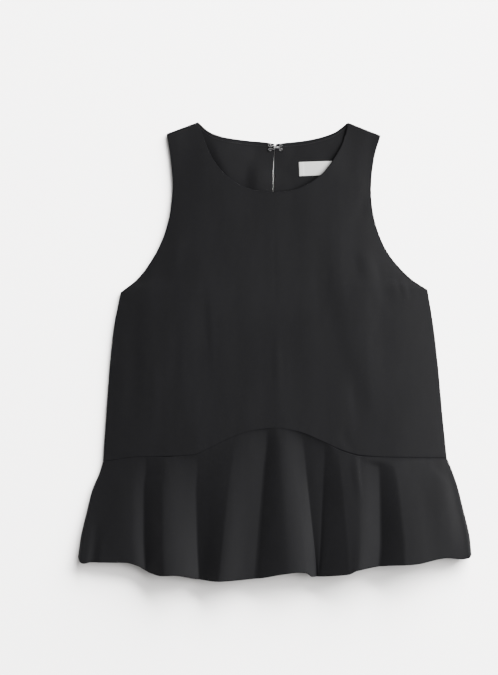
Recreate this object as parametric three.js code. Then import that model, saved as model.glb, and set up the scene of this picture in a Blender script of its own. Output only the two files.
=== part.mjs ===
// A sleeveless peplum top laid flat on a surface, front side up, in millimetres.
// X runs across the garment, Y from the hem to the neck and Z up from the surface.
import * as THREE from "three";

const WALL = 1.2;
const SEAM_GAP = 0.3;

// Radius of the fold where the front and the back meet: at the seams, and at the peplum's hem.
const SEAM_FOLD = 1.6;
const HEM_FOLD = 5.0;
// Shares of that radius where the fold's quarter circle has turned fully, by half and not at all.
const FOLD_SHARES = [0, 1 - Math.SQRT1_2, 1];

// How the front bodice swells above its rim: by height along the garment, flatter in the middle
// across it, and fading out near the shoulder seams.
const SWELL = [
  { y: -146, height: 11.0 },
  { y: -60, height: 13.0 },
  { y: 40, height: 13.5 },
  { y: 110, height: 11.5 },
  { y: 170, height: 9.6 },
  { y: 210, height: 8.6 },
  { y: 300, height: 7.0 },
];
const SWELL_POWER = 2.4;
const SHOULDER_FADE = 62;

// The bodice's outline: up each side from the waist seam to the underarm, then the armhole.
const LEFT_SIDE = [
  { x: -226.6, y: -145.8 },
  { x: -222.1, y: -80.7 },
  { x: -217.0, y: -13.0 },
  { x: -211.6, y: 35.6 },
  { x: -203.4, y: 77.2 },
];
const RIGHT_SIDE = [
  { x: 227.0, y: -141.0 },
  { x: 221.0, y: -80.7 },
  { x: 215.2, y: -17.3 },
  { x: 208.9, y: 35.6 },
  { x: 201.6, y: 80.6 },
];
const LEFT_ARMHOLE = [
  { x: -203.4, y: 77.2 },
  { x: -180.0, y: 96.0 },
  { x: -157.4, y: 127.9 },
  { x: -142.2, y: 164.5 },
  { x: -134.8, y: 212.4 },
  { x: -137.6, y: 254.6 },
  { x: -142.6, y: 286.6 },
];
const RIGHT_ARMHOLE = [
  { x: 201.6, y: 80.6 },
  { x: 178.4, y: 96.2 },
  { x: 150.1, y: 127.9 },
  { x: 133.8, y: 164.5 },
  { x: 127.2, y: 206.0 },
  { x: 131.2, y: 254.6 },
  { x: 139.7, y: 283.9 },
];
const LEFT_SHOULDER = [
  { x: -142.6, y: 286.6 },
  { x: -101.4, y: 301.9 },
];
const RIGHT_SHOULDER = [
  { x: 96.6, y: 301.4 },
  { x: 139.7, y: 283.9 },
];
const FRONT_NECK = [
  { x: -101.4, y: 301.9 },
  { x: -92.0, y: 276.0 },
  { x: -79.0, y: 249.0 },
  { x: -56.0, y: 224.6 },
  { x: -27.0, y: 211.8 },
  { x: 2.0, y: 209.2 },
  { x: 30.0, y: 213.8 },
  { x: 58.0, y: 229.6 },
  { x: 77.0, y: 252.0 },
  { x: 91.0, y: 278.0 },
  { x: 96.6, y: 301.4 },
];

// The slit down the centre back, drawn together near its top by the hook and eye.
const SLIT_X = 0.7;
const SLIT = [
  { y: 201.0, width: 0.0 },
  { y: 212.0, width: 2.2 },
  { y: 236.0, width: 3.4 },
  { y: 256.0, width: 2.6 },
  { y: 267.5, width: 1.6 },
  { y: 273.0, width: 4.4 },
];
const BACK_NECK_LEFT = [
  { x: -101.4, y: 301.9 },
  { x: -86.8, y: 289.4 },
  { x: -71.0, y: 282.9 },
  { x: -39.3, y: 277.7 },
  { x: -12.0, y: 275.2 },
  { x: 0.7, y: 273.0 },
];
const BACK_NECK_RIGHT = [
  { x: 0.7, y: 273.0 },
  { x: 13.0, y: 274.4 },
  { x: 39.9, y: 277.4 },
  { x: 63.6, y: 282.6 },
  { x: 81.0, y: 289.4 },
  { x: 96.6, y: 301.4 },
];

// The waist seams: the front one arches up at the centre, the back one is almost straight.
const FRONT_WAIST = [
  { x: -226.6, y: -145.8 },
  { x: -180.0, y: -139.4 },
  { x: -140.0, y: -138.4 },
  { x: -108.0, y: -136.4 },
  { x: -86.0, y: -127.4 },
  { x: -58.0, y: -113.8 },
  { x: -30.0, y: -104.4 },
  { x: 0.0, y: -101.0 },
  { x: 30.0, y: -105.6 },
  { x: 62.0, y: -118.6 },
  { x: 90.0, y: -131.2 },
  { x: 114.0, y: -137.4 },
  { x: 160.0, y: -139.6 },
  { x: 227.0, y: -141.0 },
];
const BACK_WAIST = [
  { x: -226.6, y: -145.8 },
  { x: -110.0, y: -139.0 },
  { x: 0.0, y: -136.0 },
  { x: 110.0, y: -138.0 },
  { x: 227.0, y: -141.0 },
];

// The peplum's outline: down each side fold, and along the front and the back hem.
const LEFT_FLARE = [
  { x: -226.6, y: -145.8 },
  { x: -231.8, y: -162.5 },
  { x: -239.6, y: -180.0 },
  { x: -247.5, y: -210.0 },
  { x: -255.1, y: -241.7 },
  { x: -259.4, y: -271.0 },
];
const RIGHT_FLARE = [
  { x: 227.0, y: -141.0 },
  { x: 235.7, y: -162.5 },
  { x: 242.0, y: -182.0 },
  { x: 249.0, y: -210.0 },
  { x: 256.5, y: -241.7 },
  { x: 259.4, y: -268.0 },
];
const FRONT_HEM = [
  { x: -259.4, y: -271.0 },
  { x: -256.4, y: -277.6 },
  { x: -251.0, y: -279.8 },
  { x: -242.0, y: -278.0 },
  { x: -196.0, y: -278.2 },
  { x: -180.4, y: -282.3 },
  { x: -164.6, y: -291.2 },
  { x: -148.8, y: -294.8 },
  { x: -132.9, y: -294.4 },
  { x: -101.2, y: -299.9 },
  { x: -77.5, y: -302.0 },
  { x: -22.0, y: -298.7 },
  { x: 9.6, y: -292.9 },
  { x: 30.0, y: -290.4 },
  { x: 41.3, y: -291.2 },
  { x: 49.2, y: -296.4 },
  { x: 80.9, y: -294.6 },
  { x: 96.8, y: -292.7 },
  { x: 108.0, y: -287.8 },
  { x: 150.0, y: -281.5 },
  { x: 183.9, y: -279.6 },
  { x: 227.0, y: -272.0 },
  { x: 246.0, y: -273.9 },
  { x: 256.0, y: -272.4 },
  { x: 259.4, y: -268.0 },
];
const BACK_HEM = [
  { x: -259.4, y: -271.0 },
  { x: -250.0, y: -273.6 },
  { x: -160.0, y: -278.0 },
  { x: -60.0, y: -287.0 },
  { x: 20.0, y: -286.0 },
  { x: 110.0, y: -280.0 },
  { x: 200.0, y: -271.0 },
  { x: 250.0, y: -268.8 },
  { x: 259.4, y: -268.0 },
];

// The front peplum's crests and valleys, left to right: where each leaves the seam and meets the
// hem, its height at the hem, how far down it begins (0 to 1), and the columns up to the next.
const FRONT_FOLDS = [
  { seamX: -225.0, hemX: -254.4, height: 10.3, start: 0.0, columns: 4 },
  { seamX: -184.0, hemX: -192.0, height: 13.6, start: 0.0, columns: 1 },
  { seamX: -172.5, hemX: -170.0, height: 10.8, start: 0.08, columns: 3 },
  { seamX: -144.0, hemX: -141.0, height: 22.5, start: 0.12, columns: 3 },
  { seamX: -101.0, hemX: -101.5, height: 10.8, start: 0.02, columns: 3 },
  { seamX: -54.0, hemX: -64.0, height: 22.5, start: 0.0, columns: 3 },
  { seamX: -6.0, hemX: -25.0, height: 11.6, start: 0.0, columns: 2 },
  { seamX: 6.0, hemX: 22.0, height: 23.5, start: 0.0, columns: 2 },
  { seamX: 36.0, hemX: 48.0, height: 10.8, start: 0.0, columns: 4 },
  { seamX: 88.0, hemX: 99.0, height: 23.0, start: 0.04, columns: 3 },
  { seamX: 131.0, hemX: 137.5, height: 10.8, start: 0.04, columns: 2 },
  { seamX: 162.0, hemX: 176.0, height: 20.5, start: 0.1, columns: 5 },
  { seamX: 225.4, hemX: 254.4, height: 10.3, start: 0.0, columns: 0 },
];
// Below 1 a fold deepens fast under the seam; at 1 its valley is a sharp V, at 0 a smooth dip.
const FOLD_GROWTH = 0.8;
const VALLEY_SHARPNESS = 0.7;

// Low ridges that lift the back peplum off the surface, deepest at the hem.
const BACK_RIDGES = [
  { seamX: -150, hemX: -146, halfWidth: 30, lift: 2.2 },
  { seamX: -62, hemX: -68, halfWidth: 34, lift: 2.2 },
  { seamX: 12, hemX: 18, halfWidth: 28, lift: 2.0 },
  { seamX: 86, hemX: 96, halfWidth: 34, lift: 2.2 },
  { seamX: 160, hemX: 172, halfWidth: 30, lift: 2.2 },
];

// Soft troughs of the front bodice and soft ridges of the back one, each along a line.
const FRONT_CREASES = [
  { fromX: 72, fromY: 98, toX: 128, toY: -62, halfWidth: 34, lift: -2.6 },
  { fromX: -116, fromY: 112, toX: -88, toY: -30, halfWidth: 26, lift: -1.6 },
  { fromX: -178, fromY: 40, toX: -186, toY: -90, halfWidth: 24, lift: -1.2 },
];
const BACK_CREASES = [
  { fromX: -18, fromY: 256, toX: -15, toY: 160, halfWidth: 20, lift: 2.6 },
  { fromX: -66, fromY: 250, toX: -60, toY: 170, halfWidth: 22, lift: 1.8 },
];

// Grid of the panels: where the underarm and the shoulders fall in it, and its rows and columns.
const UNDERARM = 0.5;
const FRONT_SHOULDERS = { leftX: -172.5, rightX: 162.0 };
const FRONT_ROWS = { side: 8, armhole: 9, peplum: 8 };
const BACK_COLUMNS = 32;
const BACK_SHOULDER_COLUMNS = 4;
const BACK_ROWS = { side: 7, armhole: 12, peplum: 5 };
// Half the step in u or v over which a surface's slope is measured.
const SLOPE_STEP = 0.004;

const LABEL = { x: 58, y: 240.6, width: 52, length: 18.5, thickness: 1.0, turn: 2.0 };

const WIRE = { radius: 0.45, sides: 6 };
const FASTENING = { x: 0, y: 268.2, ringRadius: 1.5, ringOffset: 2.7 };
const EYE = { ringX: -6.6, loopX: -1.2, loopHalfWidth: 2.4, barX: 0.4, steps: 48 };
const HOOK = { ringX: 8.0, neckX: 5.2, noseX: -0.2, tipX: 3.4, halfPitch: 0.6, steps: 84 };

const CREPE = { color: 0x242428, roughness: 0.85, metalness: 0.0 };
const SATIN = { color: 0xf2f2ee, roughness: 0.6, metalness: 0.0 };
const STEEL = { color: 0xc8c8ca, roughness: 0.3, metalness: 1.0 };

const { clamp, degToRad, lerp, smoothstep } = THREE.MathUtils;
const UP = new THREE.Vector3(0, 0, 1);
const DOWN = new THREE.Vector3(0, 0, -1);
const LEFTWARD = new THREE.Vector3(-1, 0, 0);
const RIGHTWARD = new THREE.Vector3(1, 0, 0);

// A smooth line through a table's rows that never overshoots them, `of` read against `along`.
function through(rows, along, of) {
  const at = rows.map((row) => row[along]);
  const value = rows.map((row) => row[of]);
  const slopes = at.slice(1).map((a, i) => (value[i + 1] - value[i]) / (a - at[i]));
  const tangents = at.map((_, i) => {
    if (i === 0 || i === slopes.length) return slopes[Math.min(i, slopes.length - 1)];
    const product = slopes[i - 1] * slopes[i];
    return product <= 0 ? 0 : (2 * product) / (slopes[i - 1] + slopes[i]);
  });
  return (position) => {
    const i = clamp(at.findLastIndex((a) => a <= position), 0, slopes.length - 1);
    const step = at[i + 1] - at[i];
    const t = clamp((position - at[i]) / step, 0, 1);
    const start = (1 + 2 * t) * (1 - t) ** 2 * value[i] + t * (1 - t) ** 2 * step * tangents[i];
    const end = t * t * (3 - 2 * t) * value[i + 1] - t * t * (1 - t) * step * tangents[i + 1];
    return start + end;
  };
}

// A rounded line through a table's x and y, read by its length from 0 to 1.
function lineOf(rows) {
  const points = rows.map(({ x, y }) => new THREE.Vector3(x, y, 0));
  const curve = new THREE.CatmullRomCurve3(points, false, "centripetal");
  return (t) => curve.getPointAt(clamp(t, 0, 1));
}

// Several lines end to end, each filling 0 to 1 up to its own end.
function joined(lines, ends) {
  return (t) => {
    const i = ends.findIndex((end) => t <= end + 1e-9);
    const start = i === 0 ? 0 : ends[i - 1];
    return lines[i]((t - start) / (ends[i] - start));
  };
}

// A line moved by an offset at its start, less and less towards its end.
function movedAtStart(line, offset) {
  return (t) => line(t).addScaledVector(offset, 1 - t);
}

// A flat sheet of positions stretched between four edges that share their corners.
function stretched(bottom, top, left, right) {
  return (u, v) => {
    const point = new THREE.Vector3();
    point.addScaledVector(bottom(u), 1 - v).addScaledVector(top(u), v);
    point.addScaledVector(left(v), 1 - u).addScaledVector(right(v), u);
    point.addScaledVector(bottom(0), (u - 1) * (1 - v)).addScaledVector(bottom(1), u * (v - 1));
    return point.addScaledVector(top(0), (u - 1) * v).addScaledVector(top(1), -u * v);
  };
}

// A hump of height 1 that reaches 0 at a distance of 1.
function hump(distance) {
  return Math.abs(distance) < 1 ? Math.cos((Math.PI / 2) * distance) ** 2 : 0;
}

// What a table of soft creases adds to the height of a point, each fading out at its ends.
function creases(rows, x, y) {
  return rows.reduce((sum, row) => {
    const along = new THREE.Vector2(row.toX - row.fromX, row.toY - row.fromY);
    const from = new THREE.Vector2(x - row.fromX, y - row.fromY);
    const across = from.cross(along) / along.length();
    const middle = (2 * from.dot(along)) / along.lengthSq() - 1;
    return sum + row.lift * hump(across / row.halfWidth) * hump(middle);
  }, 0);
}

// Even steps from one number to another, both ends included.
function steps(from, to, count) {
  return Array.from({ length: count + 1 }, (_, i) => lerp(from, to, i / count));
}

// A closed wall from the faces of its outer side: the same faces turned round on the inner side,
// and a strip along each open edge.
function wall(outside, inside, faces) {
  const count = outside.length;
  const edges = new Set(faces.flatMap(([a, b, c]) => [`${a} ${b}`, `${b} ${c}`, `${c} ${a}`]));
  const index = faces.flatMap(([a, b, c]) => [a, b, c, count + c, count + b, count + a]);
  edges.forEach((edge) => {
    const [a, b] = edge.split(" ").map(Number);
    if (!edges.has(`${b} ${a}`)) index.push(b, a, count + a, b, count + a, count + b);
  });
  const geometry = new THREE.BufferGeometry().setFromPoints([...outside, ...inside]);
  return geometry.setIndex(index);
}

// A cloth panel from a grid of outer points and their ways out, given by `outer`. A slit parts one
// column of the grid from the row above its foot.
function clothPanel(outer, us, vs, slit = { column: -1, foot: 0 }) {
  const placed = [];
  const place = (u, v, side) => placed.push(outer(u, v, side)) - 1;
  const leftSide = vs.map((v) => us.map((u) => place(u, v, -1)));
  const rightSide = leftSide.map((indices, row) =>
    indices.map((index, column) => {
      const parted = column === slit.column && row > slit.foot;
      return parted ? place(us[column], vs[row], 1) : index;
    }),
  );
  const outside = placed.map(({ point }) => point);
  const inside = placed.map(({ point, out }) => point.clone().addScaledVector(out, -WALL));
  const faces = [];
  for (let row = 0; row + 1 < vs.length; row += 1) {
    for (let column = 0; column + 1 < us.length; column += 1) {
      const a = rightSide[row][column];
      const b = leftSide[row][column + 1];
      const c = leftSide[row + 1][column + 1];
      const d = rightSide[row + 1][column];
      faces.push([a, b, c], [a, c, d]);
    }
  }
  const middle = faces[Math.floor(faces.length / 2)];
  const facesOut = new THREE.Triangle(...middle.map((i) => outside[i])).getNormal(new THREE.Vector3());
  if (facesOut.dot(placed[middle[0]].out) < 0) faces.forEach((face) => face.reverse());
  return wall(outside, inside, faces);
}

// The way out of a surface at u and v, measured a little to each side of it.
function facing(surface, u, v, up) {
  const across = surface(Math.min(u + SLOPE_STEP, 1), v).sub(surface(Math.max(u - SLOPE_STEP, 0), v));
  const along = surface(u, Math.min(v + SLOPE_STEP, 1)).sub(surface(u, Math.max(v - SLOPE_STEP, 0)));
  const out = across.cross(along).normalize();
  return out.dot(up) < 0 ? out.negate() : out;
}

// Turns the cloth over a fold: at `inward` from the fold's edge it drops against `up`, and its way
// out leans sideways, fully at the edge.
function foldOver({ point, out }, inward, radius, sideways, up) {
  if (inward >= radius) return;
  const lean = Math.asin(clamp(1 - inward / radius, 0, 1));
  point.addScaledVector(up, radius * (Math.cos(lean) - 1));
  out.multiplyScalar(Math.cos(lean)).addScaledVector(sideways, Math.sin(lean)).normalize();
}

// Folds the cloth over at the nearer side of its plan.
function foldSide(placed, plan, u, v, radius, up) {
  const edge = plan(u < 0.5 ? 0 : 1, v);
  foldOver(placed, Math.abs(placed.point.x - edge.x), radius, u < 0.5 ? LEFTWARD : RIGHTWARD, up);
}

// A shoulder seam: its way out in plan, and how far below it a position lies.
function shoulderLine([from, to]) {
  const along = new THREE.Vector3(to.x - from.x, to.y - from.y, 0).normalize();
  const outward = new THREE.Vector3(-along.y, along.x, 0);
  const below = ({ x, y }) => (from.x - x) * outward.x + (from.y - y) * outward.y;
  return { outward, below };
}

const LEFT_X = FRONT_WAIST[0].x;
const RIGHT_X = FRONT_WAIST.at(-1).x;
const leftShoulder = shoulderLine(LEFT_SHOULDER);
const rightShoulder = shoulderLine(RIGHT_SHOULDER);
const shareOf = (x) => (x - LEFT_X) / (RIGHT_X - LEFT_X);
const rimHeight = (radius) => 2 * radius + SEAM_GAP;

// One edge of a waist seam, moved by its share of the gap.
function seamEdge(rows, shift) {
  const height = through(rows, "x", "y");
  return (u) => {
    const x = lerp(LEFT_X, RIGHT_X, u);
    return new THREE.Vector3(x, height(x) + shift, 0);
  };
}

// Plan of a bodice panel, from its waist seam at v = 0 up to its shoulders and neckline at v = 1.
function bodicePlan(waist, necklines, ends) {
  const left = joined([lineOf(LEFT_SIDE), lineOf(LEFT_ARMHOLE)], [UNDERARM, 1]);
  const right = joined([lineOf(RIGHT_SIDE), lineOf(RIGHT_ARMHOLE)], [UNDERARM, 1]);
  const top = joined([LEFT_SHOULDER, ...necklines, RIGHT_SHOULDER].map(lineOf), [...ends, 1]);
  const lift = new THREE.Vector3(0, SEAM_GAP / 2, 0);
  return stretched(seamEdge(waist, lift.y), top, movedAtStart(left, lift), movedAtStart(right, lift));
}

// Folds a bodice panel over at its side seams and its shoulder seams.
function foldBodice(placed, plan, u, v, [leftEnd, rightEnd], up) {
  if (v <= UNDERARM) foldSide(placed, plan, u, v, SEAM_FOLD, up);
  const shoulders = [];
  if (u <= leftEnd + 1e-9) shoulders.push(leftShoulder);
  if (u >= rightEnd - 1e-9) shoulders.push(rightShoulder);
  shoulders.forEach(({ outward, below }) => {
    foldOver(placed, below(placed.point), SEAM_FOLD, outward, up);
  });
}

// How far the front stands above its rim, at a share u of its width and a position.
const swellHeight = through(SWELL, "y", "height");
function swell(u, position) {
  const across = 1 - Math.abs(2 * u - 1) ** SWELL_POWER;
  const below = Math.min(leftShoulder.below(position), rightShoulder.below(position));
  return swellHeight(position.y) * across * smoothstep(below, 0, SHOULDER_FADE);
}

// The way out along the front waist seam, the same for both panels so that their edges stay parallel.
const frontSeam = seamEdge(FRONT_WAIST, 0);
function seamFacing(u) {
  const [before, after] = [Math.max(u - SLOPE_STEP, 0), Math.min(u + SLOPE_STEP, 1)].map((share) => {
    const point = frontSeam(share);
    return point.setZ(swell(share, point));
  });
  const along = after.sub(before);
  const across = new THREE.Vector3(-along.y, along.x, 0);
  return along.cross(across).normalize();
}

// Rows of a bodice: up the side, up the armhole, and close together at the shoulder's fold.
function bodiceRows({ side, armhole }) {
  const columnLength = 385;
  const foldRows = FOLD_SHARES.map((share) => 1 - (share * SEAM_FOLD) / columnLength).reverse();
  const sideRows = steps(0, UNDERARM, side);
  const armholeRows = steps(UNDERARM, foldRows[0], armhole).slice(1, -1);
  return [...sideRows, ...armholeRows, ...foldRows];
}

// Columns by their x at the waist seam, with the two side folds' own columns at the ends.
function withSideFolds(xs) {
  const insets = FOLD_SHARES.map((share) => share * SEAM_FOLD);
  const left = insets.map((inset) => LEFT_X + inset);
  const right = insets.map((inset) => RIGHT_X - inset).reverse();
  return [...left, ...xs, ...right].map(shareOf);
}

function frontColumns() {
  const xs = FRONT_FOLDS.slice(0, -1).flatMap(({ seamX, columns }, i) => {
    return steps(seamX, FRONT_FOLDS[i + 1].seamX, columns).slice(0, -1);
  });
  return withSideFolds(xs.slice(1));
}

function backColumns() {
  return withSideFolds(steps(LEFT_X, RIGHT_X, BACK_COLUMNS).slice(1, -1));
}

function frontBodice() {
  const ends = [shareOf(FRONT_SHOULDERS.leftX), shareOf(FRONT_SHOULDERS.rightX)];
  const plan = bodicePlan(FRONT_WAIST, [FRONT_NECK], ends);
  const surface = (u, v) => {
    const point = plan(u, v);
    const height = swell(u, point) + creases(FRONT_CREASES, point.x, point.y);
    return point.setZ(rimHeight(SEAM_FOLD) + height);
  };
  const outer = (u, v) => {
    const placed = { point: surface(u, v), out: v === 0 ? seamFacing(u) : facing(surface, u, v, UP) };
    foldBodice(placed, plan, u, v, ends, UP);
    return placed;
  };
  return clothPanel(outer, frontColumns(), bodiceRows(FRONT_ROWS));
}

function backBodice() {
  const shoulder = BACK_SHOULDER_COLUMNS / BACK_COLUMNS;
  const ends = [shoulder, 1 - shoulder];
  const plan = bodicePlan(BACK_WAIST, [BACK_NECK_LEFT, BACK_NECK_RIGHT], [shoulder, 0.5, 1 - shoulder]);
  const columns = backColumns();
  const rows = bodiceRows(BACK_ROWS);
  const column = columns.findIndex((u) => Math.abs(u - 0.5) < 1e-9);
  const foot = rows.findLastIndex((v) => plan(0.5, v).y < SLIT[0].y);
  const widthAt = through(SLIT, "y", "width");
  const surface = (u, v) => {
    const point = plan(u, v);
    return point.setZ(creases(BACK_CREASES, point.x, point.y));
  };
  const outer = (u, v, side) => {
    const placed = { point: surface(u, v), out: facing(surface, u, v, DOWN) };
    if (u === columns[column]) placed.point.x = SLIT_X + (side * widthAt(placed.point.y)) / 2;
    foldBodice(placed, plan, u, v, ends, DOWN);
    return placed;
  };
  return clothPanel(outer, columns, rows, { column, foot });
}

// Plan of a peplum panel, from its waist seam at v = 0 down to its hem at v = 1.
function peplumPlan(waist, hem, folds) {
  const leftEnd = { seamX: LEFT_X, hemX: hem[0].x };
  const rightEnd = { seamX: RIGHT_X, hemX: hem.at(-1).x };
  const hemX = through([leftEnd, ...folds, rightEnd], "seamX", "hemX");
  const hemY = through(hem, "x", "y");
  const hemEdge = (u) => {
    const x = hemX(lerp(LEFT_X, RIGHT_X, u));
    return new THREE.Vector3(x, hemY(x), 0);
  };
  const drop = new THREE.Vector3(0, -SEAM_GAP / 2, 0);
  const [left, right] = [LEFT_FLARE, RIGHT_FLARE].map((rows) => movedAtStart(lineOf(rows), drop));
  return stretched(seamEdge(waist, drop.y), hemEdge, left, right);
}

const radiusAt = (v) => lerp(SEAM_FOLD, HEM_FOLD, v);

// Height of the front peplum at the hem above its rim there, and where its folds begin.
function foldAt(seamX) {
  const i = clamp(FRONT_FOLDS.findLastIndex((row) => row.seamX <= seamX), 0, FRONT_FOLDS.length - 2);
  const [here, next] = [FRONT_FOLDS[i], FRONT_FOLDS[i + 1]];
  const t = clamp((seamX - here.seamX) / (next.seamX - here.seamX), 0, 1);
  const rising = here.height < next.height;
  const [valley, crest] = rising ? [here, next] : [next, here];
  const along = rising ? t : 1 - t;
  const rise = lerp(smoothstep(along, 0, 1), Math.sin((Math.PI / 2) * along), VALLEY_SHARPNESS);
  const height = lerp(valley.height, crest.height, rise) - rimHeight(HEM_FOLD);
  return { height, start: lerp(here.start, next.start, t) };
}

function frontPeplum() {
  const plan = peplumPlan(FRONT_WAIST, FRONT_HEM, FRONT_FOLDS);
  const surface = (u, v) => {
    const atSeam = frontSeam(u);
    const { height, start } = foldAt(atSeam.x);
    const grown = (Math.max(v - start, 0) / (1 - start)) ** FOLD_GROWTH;
    return plan(u, v).setZ(rimHeight(radiusAt(v)) + lerp(swell(u, atSeam), height, grown));
  };
  const outer = (u, v) => {
    const placed = { point: surface(u, v), out: v === 0 ? seamFacing(u) : facing(surface, u, v, UP) };
    foldSide(placed, plan, u, v, radiusAt(v), UP);
    return placed;
  };
  return clothPanel(outer, frontColumns(), steps(0, 1, FRONT_ROWS.peplum));
}

function backPeplum() {
  const sideFolds = [
    { seamX: LEFT_X + SEAM_FOLD, hemX: BACK_HEM[0].x + HEM_FOLD },
    { seamX: RIGHT_X - SEAM_FOLD, hemX: BACK_HEM.at(-1).x - HEM_FOLD },
  ];
  const plan = peplumPlan(BACK_WAIST, BACK_HEM, sideFolds);
  const surface = (u, v) => {
    const point = plan(u, v);
    const lift = BACK_RIDGES.reduce((sum, ridge) => {
      const across = (point.x - lerp(ridge.seamX, ridge.hemX, v)) / ridge.halfWidth;
      return sum + ridge.lift * v * hump(across);
    }, 0);
    return point.setZ(lift);
  };
  const outer = (u, v) => {
    const placed = { point: surface(u, v), out: facing(surface, u, v, DOWN) };
    foldSide(placed, plan, u, v, radiusAt(v), DOWN);
    return placed;
  };
  return clothPanel(outer, backColumns(), steps(0, 1, BACK_ROWS.peplum));
}

const at = (x, y, z) => new THREE.Vector3(x, y, z);

// Points of an arc of wire in plan, at a height, between two angles in degrees.
function wireRing(x, y, from, to, z) {
  return steps(degToRad(from), degToRad(to), 6).map((angle) => {
    const { ringRadius } = FASTENING;
    return at(x + ringRadius * Math.cos(angle), y + ringRadius * Math.sin(angle), z);
  });
}

// A bent wire from half of its route: the other half mirrors it across the fastening.
function bentWire(half, count) {
  const mirrored = half.slice(0, -1).map(({ x, y, z }) => at(x, -y, z));
  const route = new THREE.CatmullRomCurve3([...half, ...mirrored.reverse()], false, "centripetal");
  const corners = steps(0, 2 * Math.PI, WIRE.sides).slice(1);
  const section = new THREE.Shape(
    corners.map((a) => new THREE.Vector2(WIRE.radius * Math.cos(a), WIRE.radius * Math.sin(a))),
  );
  const geometry = new THREE.ExtrudeGeometry(section, { steps: count, extrudePath: route });
  return geometry.translate(FASTENING.x, FASTENING.y, 0);
}

// Heights of the wires: the hook's base and the eye's rings, the eye's bar, the hook's bill.
const BASE_Z = WALL + SEAM_GAP + WIRE.radius;
const WIRE_STEP = 2 * WIRE.radius + SEAM_GAP;
const BAR_Z = BASE_Z + WIRE_STEP;
const BILL_Z = BAR_Z + WIRE_STEP;

function eye() {
  const { ringRadius, ringOffset } = FASTENING;
  const { ringX, loopX, loopHalfWidth, barX } = EYE;
  const neck = ringOffset - ringRadius;
  const half = [
    ...wireRing(ringX, ringOffset, 0, 270, BASE_Z),
    at(lerp(ringX, loopX, 0.35), neck + 0.05, lerp(BASE_Z, BAR_Z, 0.2)),
    at(lerp(ringX, loopX, 0.7), lerp(neck, loopHalfWidth, 0.7), lerp(BASE_Z, BAR_Z, 0.8)),
    at(loopX, loopHalfWidth, BAR_Z),
    at(lerp(loopX, barX, 0.8), 0.6 * loopHalfWidth, BAR_Z),
    at(barX, 0, BAR_Z),
  ];
  return bentWire(half, EYE.steps);
}

function hook() {
  const { ringRadius, ringOffset } = FASTENING;
  const { ringX, neckX, noseX, tipX, halfPitch } = HOOK;
  const nose = steps(degToRad(-90), degToRad(-270), 6).map((angle) => {
    return at(noseX + WIRE_STEP * Math.cos(angle), halfPitch, BAR_Z + WIRE_STEP * Math.sin(angle));
  });
  const half = [
    ...wireRing(ringX, ringOffset, 180, -90, BASE_Z),
    at(lerp(ringX, neckX, 0.5), lerp(ringOffset - ringRadius, halfPitch, 0.2), BASE_Z),
    at(neckX, halfPitch, BASE_Z),
    at(lerp(neckX, noseX, 0.5), halfPitch, BASE_Z),
    ...nose,
    at(lerp(noseX, tipX, 0.5), halfPitch, BILL_Z),
    at(tipX - halfPitch, halfPitch, BILL_Z),
    at(tipX - 0.3 * halfPitch, 0.7 * halfPitch, BILL_Z),
    at(tipX, 0, BILL_Z),
  ];
  return bentWire(half, HOOK.steps);
}

function neckLabel() {
  const geometry = new THREE.BoxGeometry(LABEL.width, LABEL.length, LABEL.thickness);
  geometry.rotateZ(degToRad(LABEL.turn));
  return geometry.translate(LABEL.x, LABEL.y, WALL + SEAM_GAP + LABEL.thickness / 2);
}

function piece(name, geometry, look) {
  const mesh = new THREE.Mesh(geometry, new THREE.MeshStandardMaterial(look));
  mesh.name = name;
  return mesh;
}

const top = new THREE.Group();
top.name = "peplum_top";
top.add(
  piece("front_bodice", frontBodice(), CREPE),
  piece("back_bodice", backBodice(), CREPE),
  piece("front_peplum", frontPeplum(), CREPE),
  piece("back_peplum", backPeplum(), CREPE),
  piece("neck_label", neckLabel(), SATIN),
  piece("hook", hook(), STEEL),
  piece("eye", eye(), STEEL),
);

export default top;
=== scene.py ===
import math

import bmesh
import bpy
import numpy as np
from mathutils import Matrix, Vector


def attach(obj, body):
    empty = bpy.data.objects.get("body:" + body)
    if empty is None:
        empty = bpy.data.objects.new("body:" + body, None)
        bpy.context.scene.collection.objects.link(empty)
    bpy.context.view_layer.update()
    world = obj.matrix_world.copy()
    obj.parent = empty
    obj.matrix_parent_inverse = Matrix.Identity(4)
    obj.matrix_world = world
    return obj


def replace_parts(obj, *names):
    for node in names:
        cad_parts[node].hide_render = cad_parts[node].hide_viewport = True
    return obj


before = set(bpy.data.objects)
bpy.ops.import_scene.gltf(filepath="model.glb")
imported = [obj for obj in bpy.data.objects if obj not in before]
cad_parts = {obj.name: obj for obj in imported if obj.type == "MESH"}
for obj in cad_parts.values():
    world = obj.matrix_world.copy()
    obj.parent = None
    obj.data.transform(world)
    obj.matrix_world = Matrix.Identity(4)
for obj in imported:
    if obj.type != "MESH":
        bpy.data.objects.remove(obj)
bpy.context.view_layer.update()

# Lengths in the tables are millimetres: X across the garment, Y from hem to neck, Z up.
MM = 0.001
WALL = 1.2
SEAM_GAP = 0.3
SEAM_FOLD = 1.6
HEM_FOLD = 5.0

# How the front bodice swells above its rim, as y and height, how flat it is across, and how far
# below the shoulders it is full.
SWELL = ((-146, 13), (-60, 12.2), (40, 11), (110, 7.6), (170, 5.8), (210, 5.4), (300, 4.8))
SWELL_POWER = 3.5
SHOULDER_FADE = 80

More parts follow.
